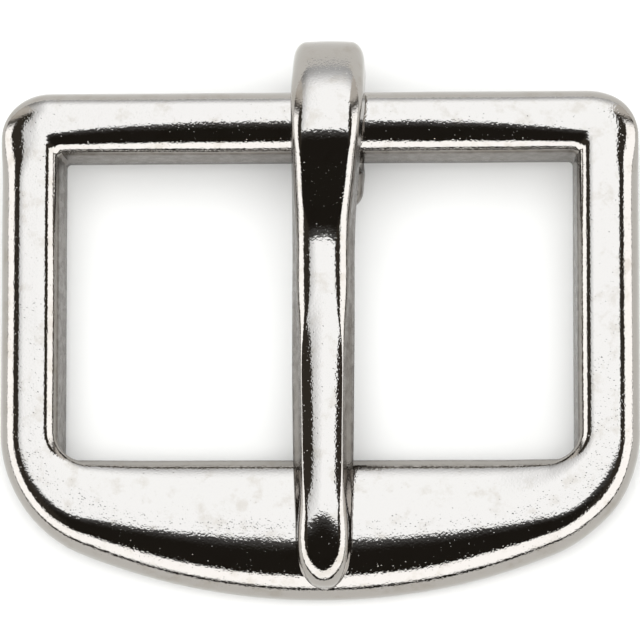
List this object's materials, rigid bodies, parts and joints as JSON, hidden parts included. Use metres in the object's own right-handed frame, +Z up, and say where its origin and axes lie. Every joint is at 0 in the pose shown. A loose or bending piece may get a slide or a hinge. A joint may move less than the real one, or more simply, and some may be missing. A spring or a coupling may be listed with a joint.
{
  "type": "bridle buckle",
  "caption": "Flat strap buckle with a straight hinge bar, a wide crescent rest and a hinged tongue whose eye wraps the bar.",
  "frame": {"origin": "on the surface that the buckle lies on, under the middle of its outline", "axes": "+X along the hinge bar, +Y across the buckle from the crescent towards the hinge bar, +Z up from the surface, out of the buckle's front"},
  "size_m": [0.0478, 0.0418, 0.0111],
  "materials": {
    "frame_nickel": "cast steel, tumbled and plated with bright nickel, fine pits and soft ripples",
    "tongue_nickel": "cast steel, tumbled and plated with bright nickel, fine scratches on the shaft"
  },
  "bodies": {
    "frame": {"frame": "frame_nickel"},
    "tongue": {"tongue": "tongue_nickel"}
  },
  "joints": [
    {"name": "tongue_swing", "type": "hinge", "parent": "frame", "child": "tongue", "pos_m": [0, 0.0145, 0.0049], "axis": [-1, 0, 0], "range_deg": [0, 180]}
  ]
}
